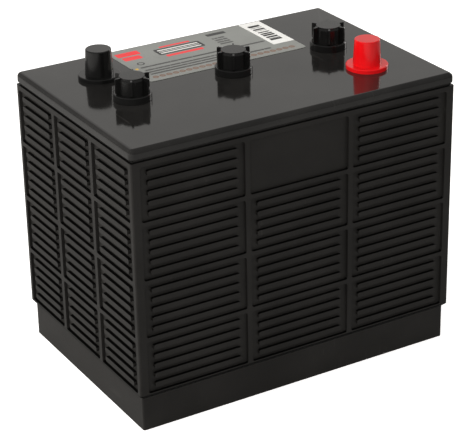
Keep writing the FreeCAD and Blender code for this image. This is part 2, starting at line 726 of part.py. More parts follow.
def make_terminal_cover(polarity):
    """A thin top-hat cap that follows the taper of the larger post."""
    x_sign, y_sign = TERMINALS[polarity]
    body = new_body(f"{polarity}_terminal_cover")
    place(body, f"{x_sign}{CELL_PITCH}", f"{y_sign}D.terminal_y", COVER_TOP)
    seat_top = "(D.bushing_flange + D.cap_seat_clearance)"
    roof = f"({CAP_HEIGHT} - D.cap_roof)"

    def inner(height):
        return f"({post_radius('positive', height)} + D.cap_clearance)"

    def outer(height):
        return f"({inner(height)} + D.cap_wall)"

    corners = [
        (CAP_SEAT, "0"),
        (CAP_FLANGE, "0"),
        (CAP_FLANGE, "D.cap_flange_height"),
        (outer("D.cap_flange_height"), "D.cap_flange_height"),
        (outer(CAP_HEIGHT), CAP_HEIGHT),
        ("0", CAP_HEIGHT),
        ("0", roof),
        (inner(roof), roof),
        (inner(seat_top), seat_top),
        (CAP_SEAT, seat_top),
    ]
    hat = turned(body, "hat", corners)
    doc.recompute()
    rims = edges_where(hat.Shape, circle_at(CAP_HEIGHT, outer(CAP_HEIGHT)))
    rims += edges_where(hat.Shape, circle_at("D.cap_flange_height", CAP_FLANGE))
    soften(body, "Fillet", "hat_rims", hat, rims, "D.cap_edge")


def strap_side(cell, polarity):
    """The sign of Y at a strap: neighbouring cells face opposite ways, so the welds alternate."""
    return "-" if (polarity == "positive") == (cell % 2 == 1) else ""


def make_plates(cell, polarity):
    """One polarity's plates of a cell, each with the lug that its strap joins."""
    count = POSITIVE_PLATES + (polarity == "negative")
    thickness = f"D.{polarity}_plate"
    body = new_body(f"{polarity}_plates_{cell}")
    place(body, CELL_X[cell])
    level = f"-{count - 1} * {PLATE_PITCH} / 2 - {thickness} / 2"
    outline = new_sketch(body, "plate_outline", "YZ_Plane", level)
    lug = f"{strap_side(cell, polarity)}D.terminal_y"
    half = f"({CELL_WIDTH} / 2 - D.plate_side_clearance)"
    half_lug = "D.lug_plate_width / 2"
    corners = [
        (f"-{half}", PLATE_BOTTOM),
        (half, PLATE_BOTTOM),
        (half, PLATE_TOP),
        (f"{lug} + {half_lug}", PLATE_TOP),
        (f"{lug} + {half_lug}", STRAP_BOTTOM),
        (f"{lug} - {half_lug}", STRAP_BOTTOM),
        (f"{lug} - {half_lug}", PLATE_TOP),
        (f"-{half}", PLATE_TOP),
    ]
    draw_polygon(outline, corners)
    plate = pad(body, "plate", outline, thickness)
    linear_pattern(body, "plates", "X_Axis", [plate], f"{count - 1} * {PLATE_PITCH}", count)


def make_separators(cell):
    """A porous sheet on each face of every positive plate."""
    body = new_body(f"separators_{cell}")
    place(body, CELL_X[cell])
    middle = f"-{POSITIVE_PLATES - 1} * {PLATE_PITCH} / 2"
    gap = "(D.positive_plate / 2 + D.separator_gap)"
    half = f"({CELL_WIDTH} / 2 - D.separator_side_clearance)"
    sheets = []
    for side, level in (("left", f"{middle} - {gap} - {SEPARATOR}"), ("right", f"{middle} + {gap}")):
        outline = new_sketch(body, f"{side}_outline", "YZ_Plane", level)
        draw_rectangle(outline, f"-{half}", half, PLATE_BOTTOM, f"{PLATE_TOP} + D.separator_rise")
        sheets.append(pad(body, f"{side}_sheet", outline, SEPARATOR))
    length = f"{POSITIVE_PLATES - 1} * {PLATE_PITCH}"
    linear_pattern(body, "sheets", "X_Axis", sheets, length, POSITIVE_PLATES)


def make_strap(cell, polarity):
    """The cast strap over a row of lugs; a tab at one end reaches the weld in the partition."""
    body = new_body(f"{polarity}_strap_{cell}")
    place(body, CELL_X[cell], f"{strap_side(cell, polarity)}D.terminal_y")
    wall = f"({CELL_LENGTH} / 2)"
    left, right = f"-{STACK_LENGTH} / 2", f"{STACK_LENGTH} / 2"
    tab = None
    if polarity == "positive" and cell < len(CELLS):
        right = wall
        tab = (f"{wall} - D.tab_thickness", wall)
    if polarity == "negative" and cell > 1:
        left = f"-{wall}"
        tab = (f"-{wall}", f"-{wall} + D.tab_thickness")
    half = "D.strap_width / 2"
    bar = new_sketch(body, "bar_outline", level=STRAP_BOTTOM)
    draw_rectangle(bar, left, right, f"-{half}", half)
    pad(body, "bar", bar, "D.strap_height")
    if tab:
        tab_outline = new_sketch(body, "tab_outline", level=STRAP_TOP)
        draw_rectangle(tab_outline, *tab, f"-{half}", half)
        pad(body, "tab", tab_outline, "D.tab_height")


def make_intercell_weld(name, x_sign):
    body = new_body(name)
    place(body, f"{x_sign}{CELL_PITCH} / 2")
    outline = new_sketch(body, "weld_circle", "YZ_Plane", "-D.partition / 2")
    draw_circle(outline, f"{x_sign}D.terminal_y", WELD_LEVEL, "D.weld_radius")
    pad(body, "weld", outline, "D.partition")


def make_labels():
    label = new_body("top_label")
    place(label, z=COVER_TOP)
    outline = new_sketch(label, "outline")
    left = f"-{CELL_PITCH} + D.label_left_inset"
    draw_rounded_rectangle(outline, left, LABEL_RIGHT, LABEL_FRONT, LABEL_BACK, "D.label_corner")
    pad(label, "sheet", outline, "D.label_thickness")
    barcode = new_body("barcode_label")
    place(barcode, z=f"{COVER_TOP} + D.label_thickness")
    outline = new_sketch(barcode, "outline")
    left = f"{LABEL_RIGHT} - D.barcode_length"
    front = f"{LABEL_FRONT} + D.barcode_front_gap"
    draw_rectangle(outline, left, LABEL_RIGHT, front, f"{LABEL_BACK} - D.barcode_back_gap")
    pad(barcode, "sheet", outline, "D.barcode_thickness")


def write_pieces():
    doc.recompute()
    for item in doc.Objects:
        if "Invalid" in item.State or "Error" in item.State:
            raise RuntimeError(f"{item.Label} failed: {item.State}")
    bodies = [item for item in doc.Objects if item.TypeId == "PartDesign::Body"]
    for body in bodies:
        if body.Shape.isNull() or not body.Shape.isValid() or not body.Shape.Solids:
            raise RuntimeError(f"{body.Label} has no valid shape")
    os.makedirs("parts", exist_ok=True)
    for body in bodies:
        body.Shape.exportStep(f"parts/{body.Label}.step")
        print(f"{body.Label}: {len(body.Shape.Solids)} solids, {body.Shape.Volume / 1000:.2f} cm3")


make_container()
make_cover()
for cell in CELLS:
    make_vent_plug(cell)
    make_vent_gasket(cell)
    make_flame_arrestor(cell)
    make_vent_baffle(cell)
    make_separators(cell)
    for polarity in TERMINALS:
        make_plates(cell, polarity)
        make_strap(cell, polarity)
for polarity in TERMINALS:
    make_terminal_bushing(polarity)
    make_terminal_pillar(polarity)
    make_terminal_cover(polarity)
make_intercell_weld("intercell_weld_1", "-")
make_intercell_weld("intercell_weld_2", "")
make_labels()
write_pieces()
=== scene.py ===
import json
import math
import bpy
from mathutils import Euler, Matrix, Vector


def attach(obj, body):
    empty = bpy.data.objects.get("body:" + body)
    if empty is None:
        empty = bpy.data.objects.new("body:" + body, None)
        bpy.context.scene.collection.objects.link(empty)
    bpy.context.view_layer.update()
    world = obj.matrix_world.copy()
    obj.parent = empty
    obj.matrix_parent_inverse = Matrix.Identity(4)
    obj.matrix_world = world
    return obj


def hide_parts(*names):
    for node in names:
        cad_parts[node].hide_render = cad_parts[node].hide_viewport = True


# A six-volt deep cycle battery: ribbed black case, glossy cover, three vent plugs, two post covers,
# a printed film and a paper sticker. Sizes are in metres, in the frame of the CAD, unless a note says mm.

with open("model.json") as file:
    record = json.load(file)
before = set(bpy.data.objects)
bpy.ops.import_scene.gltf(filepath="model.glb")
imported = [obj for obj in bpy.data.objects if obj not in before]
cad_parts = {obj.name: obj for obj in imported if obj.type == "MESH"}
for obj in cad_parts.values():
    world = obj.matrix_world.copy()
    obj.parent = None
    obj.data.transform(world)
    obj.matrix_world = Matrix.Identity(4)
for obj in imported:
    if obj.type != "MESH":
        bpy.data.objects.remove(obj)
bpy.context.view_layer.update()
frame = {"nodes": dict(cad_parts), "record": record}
nodes = frame["nodes"]
slotOf = {part["node"]: part["material_slot"] for part in frame["record"]["subparts"]}
bodyOf = {node: body for body, members in frame["record"]["behaviour"]["bodies"].items() for node in members}
mmPerMetre = 1000
print("frame loaded with", len(nodes), "nodes")


# small helpers for node trees

def addNode(tree, kind, inputs=None, **settings):
    node = tree.nodes.new(kind)
    for name, value in settings.items():
        setattr(node, name, value)
    for name, value in (inputs or {}).items():
        plug(tree, value, node.inputs[name])
    return node


def plug(tree, value, socket):
    if isinstance(value, bpy.types.NodeSocket):
        tree.links.new(value, socket)
    else:
        socket.default_value = value


def calc(tree, operation, *values, clamp=False):
    node = tree.nodes.new("ShaderNodeMath")
    node.operation = operation
    node.use_clamp = clamp
    for socket, value in zip(node.inputs, values):
        plug(tree, value, socket)
    return node.outputs[0]


def noise(tree, vector, scale, detail=2.0, roughness=0.5):
    inputs = {"Vector": vector, "Scale": scale, "Detail": detail, "Roughness": roughness}
    return addNode(tree, "ShaderNodeTexNoise", inputs).outputs["Fac"]


def ramp(tree, value, low, high, toLow=0.0, toHigh=1.0):
    inputs = {"Value": value, "From Min": low, "From Max": high, "To Min": toLow, "To Max": toHigh}
    node = addNode(tree, "ShaderNodeMapRange", inputs)
    node.interpolation_type = "SMOOTHSTEP"
    return node.outputs["Result"]


def blendColor(tree, mask, under, over):
    node = tree.nodes.new("ShaderNodeMix")
    node.data_type = "RGBA"
    plug(tree, mask, node.inputs[0])
    plug(tree, under, node.inputs[6])
    plug(tree, over, node.inputs[7])
    return node.outputs[2]


def newGroup(name, inputs, outputs):
    tree = bpy.data.node_groups.new(name, "ShaderNodeTree")
    for label, kind, value in inputs:
        socket = tree.interface.new_socket(name=label, in_out="INPUT", socket_type="NodeSocket" + kind)
        if value is not None:
            socket.default_value = value
    for label, kind in outputs:
        tree.interface.new_socket(name=label, in_out="OUTPUT", socket_type="NodeSocket" + kind)
    return tree, tree.nodes.new("NodeGroupInput").outputs, tree.nodes.new("NodeGroupOutput").inputs


def useGroup(tree, group, **inputs):
    node = tree.nodes.new("ShaderNodeGroup")
    node.node_tree = group
    for name, value in inputs.items():
        plug(tree, value, node.inputs[name])
    return node.outputs


# effects shared by several materials

grainSettings = {"scale": 1500.0, "wave": 0.3, "detail": 3.0, "roughness": 0.6, "waveShare": 0.02,
                 "waveDetail": 2.0, "mottleScale": 21.0, "mottleDetail": 4.0}


def makeGrainGroup():
    # the fine orange peel of a moulded surface, with broad waves under it
    sizes = grainSettings
    inputs = [("Vector", "Vector", None), ("Scale", "Float", sizes["scale"]),
              ("Wave", "Float", sizes["wave"])]
    tree, given, out = newGroup("moulded grain", inputs, [("Height", "Float"), ("Mottle", "Float")])
    fine = noise(tree, given["Vector"], given["Scale"], sizes["detail"], sizes["roughness"])
    broadScale = calc(tree, "MULTIPLY", given["Scale"], sizes["waveShare"])
    broad = noise(tree, given["Vector"], broadScale, sizes["waveDetail"])
    tree.links.new(calc(tree, "ADD", fine, calc(tree, "MULTIPLY", broad, given["Wave"])), out["Height"])
    mottle = noise(tree, given["Vector"], sizes["mottleScale"], sizes["mottleDetail"], sizes["roughness"])
    tree.links.new(mottle, out["Mottle"])
    return tree


scuffSettings = {
    "amount": 0.5, "noiseScale": 1.0, "noiseDetail": 1.0, "line": (0.69, 0.76),
    # turns about the three axes in radians and texture scale along them, for each set of hairlines
    "directions": [((0.1, 0.2, 0.5), (900.0, 14.0, 60.0)), ((0.1, 0.2, -0.9), (700.0, 10.0, 80.0))],
    "patchScale": 30.0, "patchDetail": 2.0, "patch": (0.48, 0.66),
}


def makeScuffGroup():
    # long faint hairlines in two directions, broken up into patches
    sizes = scuffSettings
    inputs = [("Vector", "Vector", None), ("Amount", "Float", sizes["amount"])]
    tree, given, out = newGroup("handling scuffs", inputs, [("Mask", "Float")])
    lines = []
    for turn, scale in sizes["directions"]:
        places = {"Vector": given["Vector"], "Rotation": turn, "Scale": scale}
        mapping = addNode(tree, "ShaderNodeMapping", places)
        hairs = noise(tree, mapping.outputs[0], sizes["noiseScale"], sizes["noiseDetail"])
        lines.append(ramp(tree, hairs, *sizes["line"]))
    both = calc(tree, "MAXIMUM", *lines)
    clouds = noise(tree, given["Vector"], sizes["patchScale"], sizes["patchDetail"])
    patches = ramp(tree, clouds, *sizes["patch"])
    tree.links.new(calc(tree, "MULTIPLY", calc(tree, "MULTIPLY", both, patches), given["Amount"], clamp=True),
                   out["Mask"])
    return tree


dustSettings = {"amount": 0.3, "cloudScale": 16.0, "cloudDetail": 5.0, "cloudRoughness": 0.65,
                "cloud": (0.35, 0.8), "speckScale": 1900.0, "speckDetail": 0.0, "speck": (0.74, 0.8)}


def makeDustGroup():
    # a thin film of dust: soft clouds with a scatter of specks
    sizes = dustSettings
    inputs = [("Vector", "Vector", None), ("Amount", "Float", sizes["amount"])]
    tree, given, out = newGroup("dust film", inputs, [("Mask", "Float")])
    haze = noise(tree, given["Vector"], sizes["cloudScale"], sizes["cloudDetail"], sizes["cloudRoughness"])
    clouds = ramp(tree, haze, *sizes["cloud"])
    grit = noise(tree, given["Vector"], sizes["speckScale"], sizes["speckDetail"])
    specks = ramp(tree, grit, *sizes["speck"])
    total = calc(tree, "ADD", clouds, specks)
    tree.links.new(calc(tree, "MULTIPLY", total, given["Amount"], clamp=True), out["Mask"])
    return tree


def makePatchGroup():
    # a printed rectangle with round corners, 1 inside and 0 outside
    inputs = [("Vector", "Vector", None), ("Middle X", "Float", 0.0), ("Middle Y", "Float", 0.0),
              ("Half Length", "Float", 0.01), ("Half Width", "Float", 0.01), ("Corner", "Float", 0.001)]
    tree, given, out = newGroup("printed patch", inputs, [("Mask", "Float")])
    split = addNode(tree, "ShaderNodeSeparateXYZ", {"Vector": given["Vector"]}).outputs
    reach = []
    for axis, middle, half in (("X", "Middle X", "Half Length"), ("Y", "Middle Y", "Half Width")):
        away = calc(tree, "ABSOLUTE", calc(tree, "SUBTRACT", split[axis], given[middle]))
        inside = calc(tree, "SUBTRACT", given[half], given["Corner"])
        reach.append(calc(tree, "MAXIMUM", calc(tree, "SUBTRACT", away, inside), 0.0))
    length = calc(tree, "SQRT", calc(tree, "ADD", calc(tree, "POWER", reach[0], 2.0),
                                     calc(tree, "POWER", reach[1], 2.0)))
    tree.links.new(calc(tree, "LESS_THAN", length, given["Corner"]), out["Mask"])
    return tree


rowsSettings = {"row": 0.002, "dash": 0.004, "ink": 0.5, "rowShift": 7.31, "noiseScale": 1.9,
                "noiseDetail": 3.0, "noiseRoughness": 0.8, "gap": 0.4}


def makeRowsGroup():
    # rows of short dashes of uneven length, as fine print looks from a distance
    sizes = rowsSettings
    inputs = [("Vector", "Vector", None), ("Row", "Float", sizes["row"]), ("Dash", "Float", sizes["dash"]),
              ("Ink", "Float", sizes["ink"])]
    tree, given, out = newGroup("dash rows", inputs, [("Mask", "Float")])
    split = addNode(tree, "ShaderNodeSeparateXYZ", {"Vector": given["Vector"]}).outputs
    rowPlace = calc(tree, "DIVIDE", split["Y"], given["Row"])
    rowNumber = calc(tree, "FLOOR", rowPlace)
    inRow = calc(tree, "LESS_THAN", calc(tree, "FRACT", rowPlace), given["Ink"])
    along = calc(tree, "DIVIDE", split["X"], given["Dash"])
    shift = calc(tree, "MULTIPLY", rowNumber, sizes["rowShift"])
    place = addNode(tree, "ShaderNodeCombineXYZ", {"X": along, "Y": shift})
    marks = noise(tree, place.outputs[0], sizes["noiseScale"], sizes["noiseDetail"], sizes["noiseRoughness"])
    dashes = calc(tree, "GREATER_THAN", marks, sizes["gap"])
    tree.links.new(calc(tree, "MULTIPLY", inRow, dashes), out["Mask"])
    return tree


grainGroup = makeGrainGroup()
scuffGroup = makeScuffGroup()
dustGroup = makeDustGroup()
patchGroup = makePatchGroup()
rowsGroup = makeRowsGroup()


# materials

def startMaterial(name, roughness=0.5, metallic=0.0, ior=1.5):
    material = bpy.data.materials.new(name)
    material.use_nodes = True
    tree = material.node_tree
    shader = tree.nodes["Principled BSDF"]
    for socket, value in (("Roughness", roughness), ("Metallic", metallic), ("IOR", ior)):
        shader.inputs[socket].default_value = value
    vector = tree.nodes.new("ShaderNodeTexCoord").outputs["Object"]
    return material, tree, shader.inputs, vector


def addBump(tree, shader, height, strength, distance):
    node = addNode(tree, "ShaderNodeBump", {"Strength": strength, "Distance": distance, "Height": height})
    tree.links.new(node.outputs[0], shader["Normal"])


# painted shade: the height bands are darkened to the grey 0.0015 given here, and faces whose normal has an up
# or down part over 0.5 get the painted wall shade
plasticSettings = {"pigment": (0.3, 0.7), "scuffTint": 0.35, "paintedShadeTone": 0.0015, "levelFrom": 0.5,
                   "gloss": (0.25, 0.75), "scuffDull": 0.25, "dustDull": 0.5, "scuffDent": 0.4,
                   "bumpDepth": 0.0002}


def makePlastic(name, deep, pale, dusty, roughness, grain, bump, *, scuff, dust, wave=0.3, ior=1.5,
                paintedWallShade=None, paintedShadeBands=()):
    # moulded plastic: uneven pigment, fine grain, scuffs that dull the gloss, and some dust. The wall colour
    # is painted shade, given to faces that look up or down, such as the walls of the grooves, and each of the
    # bands is a pair of heights in mm between which the colour is darkened as painted shade
    sizes = plasticSettings
    material, tree, shader, vector = startMaterial(name, ior=ior)
    surface = useGroup(tree, grainGroup, Vector=vector, Scale=grain, Wave=wave)
    scuffs = useGroup(tree, scuffGroup, Vector=vector, Amount=scuff)["Mask"]
    dustMask = useGroup(tree, dustGroup, Vector=vector, Amount=dust)["Mask"]
    tone = blendColor(tree, ramp(tree, surface["Mottle"], *sizes["pigment"]), deep, pale)
    tone = blendColor(tree, calc(tree, "MULTIPLY", scuffs, sizes["scuffTint"]), tone, dusty)
    tone = blendColor(tree, dustMask, tone, dusty)
    place = addNode(tree, "ShaderNodeSeparateXYZ", {"Vector": vector}).outputs["Z"]
    # painted shade: the colour is darkened between each pair of heights
    for bottom, top in paintedShadeBands:
        band = calc(tree, "MULTIPLY", calc(tree, "GREATER_THAN", place, bottom / mmPerMetre),
                    calc(tree, "LESS_THAN", place, top / mmPerMetre))
        tone = blendColor(tree, band, tone, rgb(sizes["paintedShadeTone"]))
    # painted shade: faces that look up or down get a near-black colour that stands in for their shading
    if paintedWallShade is not None:
        normal = tree.nodes.new("ShaderNodeNewGeometry").outputs["Normal"]
        facing = addNode(tree, "ShaderNodeSeparateXYZ", {"Vector": normal})
        level = calc(tree, "GREATER_THAN", calc(tree, "ABSOLUTE", facing.outputs["Z"]), sizes["levelFrom"])
        tone = blendColor(tree, level, tone, paintedWallShade)
    tree.links.new(tone, shader["Base Color"])
    low, high = roughness
    gloss = ramp(tree, surface["Mottle"], *sizes["gloss"], low, high)
    gloss = calc(tree, "ADD", gloss, calc(tree, "MULTIPLY", scuffs, sizes["scuffDull"]))
    gloss = calc(tree, "ADD", gloss, calc(tree, "MULTIPLY", dustMask, sizes["dustDull"]), clamp=True)
    tree.links.new(gloss, shader["Roughness"])
    height = calc(tree, "SUBTRACT", surface["Height"], calc(tree, "MULTIPLY", scuffs, sizes["scuffDent"]))
    addBump(tree, shader, height, bump, sizes["bumpDepth"])
    return material


leadSettings = {
    "metallic": 0.85, "cloud": (0.3, 0.6), "cloudDetail": 5.0, "cloudRoughness": 0.65,
    "pitShare": 14, "pitDetail": 2.0, "pit": (0.3, 0.42), "oxideShare": 0.6, "oxideDetail": 4.0,
    "oxide": (0.5, 0.75), "gloss": (0.3, 0.7, 0.38, 0.62), "bare": 0.9, "oxideDull": 0.7,
    "bump": 0.35, "bumpDepth": 0.0003,
}


def makeLead(name, deep, pale, oxide, scale):
    # dull cast lead: grey with cloudy oxide and the small pits of a casting
    sizes = leadSettings
    material, tree, shader, vector = startMaterial(name, metallic=sizes["metallic"])
    clouds = noise(tree, vector, scale, sizes["cloudDetail"], sizes["cloudRoughness"])
    pits = ramp(tree, noise(tree, vector, scale * sizes["pitShare"], sizes["pitDetail"]), *sizes["pit"])
    tone = blendColor(tree, ramp(tree, clouds, *sizes["cloud"]), deep, pale)
    stains = noise(tree, vector, scale * sizes["oxideShare"], sizes["oxideDetail"])
    oxideMask = ramp(tree, stains, *sizes["oxide"])
    tone = blendColor(tree, oxideMask, tone, oxide)
    tree.links.new(tone, shader["Base Color"])
    tree.links.new(ramp(tree, clouds, *sizes["gloss"]), shader["Roughness"])
    dull = calc(tree, "MULTIPLY", oxideMask, sizes["oxideDull"])
    tree.links.new(calc(tree, "SUBTRACT", sizes["bare"], dull), shader["Metallic"])
    addBump(tree, shader, calc(tree, "ADD", pits, clouds), sizes["bump"], sizes["bumpDepth"])
    return material


pasteSettings = {
    "roughness": 0.9, "gridPitch": 0.009, "clodScale": 900.0, "clodDetail": 4.0, "clodRoughness": 0.7,
    "clod": (0.3, 0.7), "wire": (0.4, 0.47), "wireTint": 0.5, "wireColor": (0.3, 0.3, 0.31, 1),
    "wireDent": 0.6, "bump": 0.6, "bumpDepth": 0.0004,
}


def makePaste(name, deep, pale):
    # paste pressed into a cast grid: crumbly clods, with the grid just showing through as squares
    sizes = pasteSettings
    material, tree, shader, vector = startMaterial(name, roughness=sizes["roughness"])
    clods = noise(tree, vector, sizes["clodScale"], sizes["clodDetail"], sizes["clodRoughness"])
    split = addNode(tree, "ShaderNodeSeparateXYZ", {"Vector": vector}).outputs
    wires = []
    for axis in ("Y", "Z"):
        place = calc(tree, "FRACT", calc(tree, "DIVIDE", split[axis], sizes["gridPitch"]))
        fromMiddle = calc(tree, "ABSOLUTE", calc(tree, "SUBTRACT", place, 0.5))
        wires.append(ramp(tree, fromMiddle, *sizes["wire"]))
    grid = calc(tree, "MAXIMUM", *wires)
    tone = blendColor(tree, ramp(tree, clods, *sizes["clod"]), deep, pale)
    tone = blendColor(tree, calc(tree, "MULTIPLY", grid, sizes["wireTint"]), tone, sizes["wireColor"])
    tree.links.new(tone, shader["Base Color"])
    height = calc(tree, "SUBTRACT", clods, calc(tree, "MULTIPLY", grid, sizes["wireDent"]))
    addBump(tree, shader, height, sizes["bump"], sizes["bumpDepth"])
    return material


stoneSettings = {"roughness": 0.95, "scale": 1400.0, "bead": (0.2, 0.75), "beadColor": (0.74, 0.72, 0.67, 1),
                 "poreColor": (0.3, 0.28, 0.25, 1), "bump": 0.8, "bumpDepth": 0.0003}


def makeArrestorStone():
    # a sintered disc: pale beads with dark pores between them
    sizes = stoneSettings
    material, tree, shader, vector = startMaterial("sintered stone", roughness=sizes["roughness"])
    inputs = {"Vector": vector, "Scale": sizes["scale"]}
    cells = addNode(tree, "ShaderNodeTexVoronoi", inputs).outputs["Distance"]
    beads = ramp(tree, cells, *sizes["bead"])
    tree.links.new(blendColor(tree, beads, sizes["beadColor"], sizes["poreColor"]), shader["Base Color"])
    addBump(tree, shader, calc(tree, "MULTIPLY", beads, -1.0), sizes["bump"], sizes["bumpDepth"])
    return material


sheetSettings = {"roughness": 0.85, "ribPitch": 0.008, "rib": (0.88, 0.95), "fibreScale": 1200.0,
                 "fibreDetail": 4.0, "fibreRoughness": 0.7, "fibre": (0.3, 0.7), "deep": (0.62, 0.59, 0.5, 1),
                 "pale": (0.76, 0.74, 0.66, 1), "bump": 0.5, "bumpDepth": 0.0004}


def makeSeparatorSheet():
    # a pale microporous sheet with upright ribs
    sizes = sheetSettings
    material, tree, shader, vector = startMaterial("microporous sheet", roughness=sizes["roughness"])
    split = addNode(tree, "ShaderNodeSeparateXYZ", {"Vector": vector}).outputs
    place = calc(tree, "FRACT", calc(tree, "DIVIDE", split["Y"], sizes["ribPitch"]))
    rib = ramp(tree, place, *sizes["rib"])
    fibre = noise(tree, vector, sizes["fibreScale"], sizes["fibreDetail"], sizes["fibreRoughness"])
    tone = blendColor(tree, ramp(tree, fibre, *sizes["fibre"]), sizes["deep"], sizes["pale"])
    tree.links.new(tone, shader["Base Color"])
    addBump(tree, shader, calc(tree, "ADD", fibre, rib), sizes["bump"], sizes["bumpDepth"])
    return material


filmSettings = {
    "grey": (0.205, 0.213, 0.202, 1), "greyLight": (0.235, 0.243, 0.232, 1),
    "ink": (0.012, 0.012, 0.012, 1), "red": (0.85, 0.012, 0.02, 1), "white": (0.78, 0.78, 0.76, 1),
    "paleInk": (0.03, 0.03, 0.03, 1), "ringInk": (0.16, 0.07, 0.035, 1), "yellow": (0.75, 0.45, 0.02, 1),
    # name of the ink, middle x and y, half length and half width, corner, in mm
    "patches": [
        ("red", -47.6, 74.2, 9.4, 3.9, 0.8), ("red", -48.4, 64.8, 7.4, 3.5, 0.8),
        ("red", -8.0, 74.3, 13.0, 1.3, 0.6), ("ink", -8.5, 65.2, 19.5, 6.4, 1.6),
        ("white", -8.5, 68.3, 17.2, 0.9, 0.4), ("white", -8.5, 65.2, 17.2, 0.5, 0.2),
        ("white", -8.5, 62.1, 17.2, 0.9, 0.4), ("red", -9.0, 55.4, 15.5, 1.9, 0.8),
        ("ink", 29.8, 77.2, 8.2, 2.4, 0.6), ("yellow", -56.4, 42.4, 1.1, 1.5, 0.3),
        ("ink", -48.6, 51.2, 3.0, 3.0, 3.0), ("grey", -48.6, 51.2, 1.9, 1.9, 1.9),
    ],
    # middle x and y, half length and half width of a block of fine print, row height and dash length, in mm
    "print": [
        (27.0, 62.8, 5.4, 8.6, 4.3, 2.6), (0.0, 43.4, 53.0, 1.5, 4.5, 3.4),
        (-13.0, 35.4, 40.0, 4.4, 4.4, 3.0), (-2.0, 28.0, 51.0, 1.4, 4.5, 2.8),
    ],
    # the row of small rings along the front edge, in mm; a dot's radius is the ring's divided by dotShare
    "rings": {"y": 21.4, "pitch": 5.5, "radius": 1.7, "line": 1.4, "first": -55.0, "last": 66.5,
              "halfWidth": 3.0, "dotShare": 2.5},
    "roughness": 0.32, "cloudScale": 45.0, "cloudDetail": 3.0, "cloud": (0.3, 0.7), "inkShare": 0.56,
    "edge": 0.1, "paleShare": 0.95, "ringShare": 0.9, "scuff": 0.5, "gloss": (0.3, 0.7, 0.28, 0.36),
    "scuffDull": 0.3, "rippleScale": 160.0, "rippleDetail": 2.0, "scuffDent": 0.3, "bump": 0.12,
    "bumpDepth": 0.0002,
}


def makeLabelFilm():
    # printed grey film: plain colour blocks, rows of dashes and a row of rings, under a clear coat
    given = filmSettings
    material, tree, shader, vector = startMaterial("printed film", roughness=given["roughness"])
    clouds = noise(tree, vector, given["cloudScale"], given["cloudDetail"])
    tone = blendColor(tree, ramp(tree, clouds, *given["cloud"]), given["grey"], given["greyLight"])
    for ink, x, y, halfLength, halfWidth, corner in given["patches"]:
        mask = patch(tree, vector, x, y, halfLength, halfWidth, corner)
        tone = blendColor(tree, mask, tone, given[ink])
    for x, y, halfLength, halfWidth, row, dash in given["print"]:
        start = (0, -(y - halfWidth) / mmPerMetre, 0)
        shifted = addNode(tree, "ShaderNodeMapping", {"Vector": vector, "Location": start})
        rows = useGroup(tree, rowsGroup, Vector=shifted.outputs[0], Row=row / mmPerMetre,
                        Dash=dash / mmPerMetre, Ink=given["inkShare"])
        block = patch(tree, vector, x, y, halfLength, halfWidth, given["edge"])
        mask = calc(tree, "MULTIPLY", rows["Mask"], block)
        tone = blendColor(tree, calc(tree, "MULTIPLY", mask, given["paleShare"]), tone, given["paleInk"])
    mask = ringMask(tree, vector, given["rings"], given["edge"])
    tone = blendColor(tree, calc(tree, "MULTIPLY", mask, given["ringShare"]), tone, given["ringInk"])
    scuffs = useGroup(tree, scuffGroup, Vector=vector, Amount=given["scuff"])["Mask"]
    tree.links.new(tone, shader["Base Color"])
    dull = calc(tree, "MULTIPLY", scuffs, given["scuffDull"])
    tree.links.new(calc(tree, "ADD", ramp(tree, clouds, *given["gloss"]), dull), shader["Roughness"])
    ripples = noise(tree, vector, given["rippleScale"], given["rippleDetail"])
    height = calc(tree, "SUBTRACT", ripples, calc(tree, "MULTIPLY", scuffs, given["scuffDent"]))
    addBump(tree, shader, height, given["bump"], given["bumpDepth"])
    return material


def ringMask(tree, vector, rings, edge):
    # a row of rings with a dot in each, 1 on the ink and 0 off it
    first, last, pitch = rings["first"], rings["last"], rings["pitch"] / mmPerMetre
    radius = rings["radius"]
    split = addNode(tree, "ShaderNodeSeparateXYZ", {"Vector": vector}).outputs
    step = calc(tree, "SUBTRACT", calc(tree, "FRACT", calc(tree, "DIVIDE", split["X"], pitch)), 0.5)
    awayX = calc(tree, "MULTIPLY", step, pitch)
    awayY = calc(tree, "SUBTRACT", split["Y"], rings["y"] / mmPerMetre)
    squares = calc(tree, "ADD", calc(tree, "POWER", awayX, 2.0), calc(tree, "POWER", awayY, 2.0))
    away = calc(tree, "SQRT", squares)
    fromLine = calc(tree, "ABSOLUTE", calc(tree, "SUBTRACT", away, radius / mmPerMetre))
    ring = calc(tree, "LESS_THAN", fromLine, rings["line"] / (2 * mmPerMetre))
    dot = calc(tree, "LESS_THAN", away, radius / (rings["dotShare"] * mmPerMetre))
    strip = patch(tree, vector, (first + last) / 2, rings["y"], (last - first) / 2, rings["halfWidth"], edge)
    return calc(tree, "MULTIPLY", calc(tree, "MAXIMUM", ring, dot), strip)


def patch(tree, vector, x, y, halfLength, halfWidth, corner):
    # the mask of one printed rectangle, with its sizes in mm
    values = {"Vector": vector, "Middle X": x / mmPerMetre, "Middle Y": y / mmPerMetre,
              "Half Length": halfLength / mmPerMetre, "Half Width": halfWidth / mmPerMetre,
              "Corner": corner / mmPerMetre}
    return useGroup(tree, patchGroup, **values)["Mask"]


stickerSettings = {
    "paper": (0.86, 0.86, 0.85, 1), "paperShade": (0.8, 0.8, 0.79, 1), "ink": (0.03, 0.03, 0.03, 1),
    # middle y and half width of each printed bar, in mm
    "bars": [(75.0, 1.9), (71.2, 0.5), (67.4, 1.4), (64.4, 0.4), (60.4, 1.0), (56.4, 1.3), (52.8, 1.5),
             (48.2, 1.5), (44.9, 0.5), (42.4, 1.7)],
    "middleX": 62.6, "halfLength": 5.0, "edge": 0.1,
    "roughness": 0.6, "fibreScale": 700.0, "fibreDetail": 4.0, "fibreRoughness": 0.7, "fibre": (0.35, 0.65),
    "bump": 0.15, "bumpDepth": 0.0001,
}


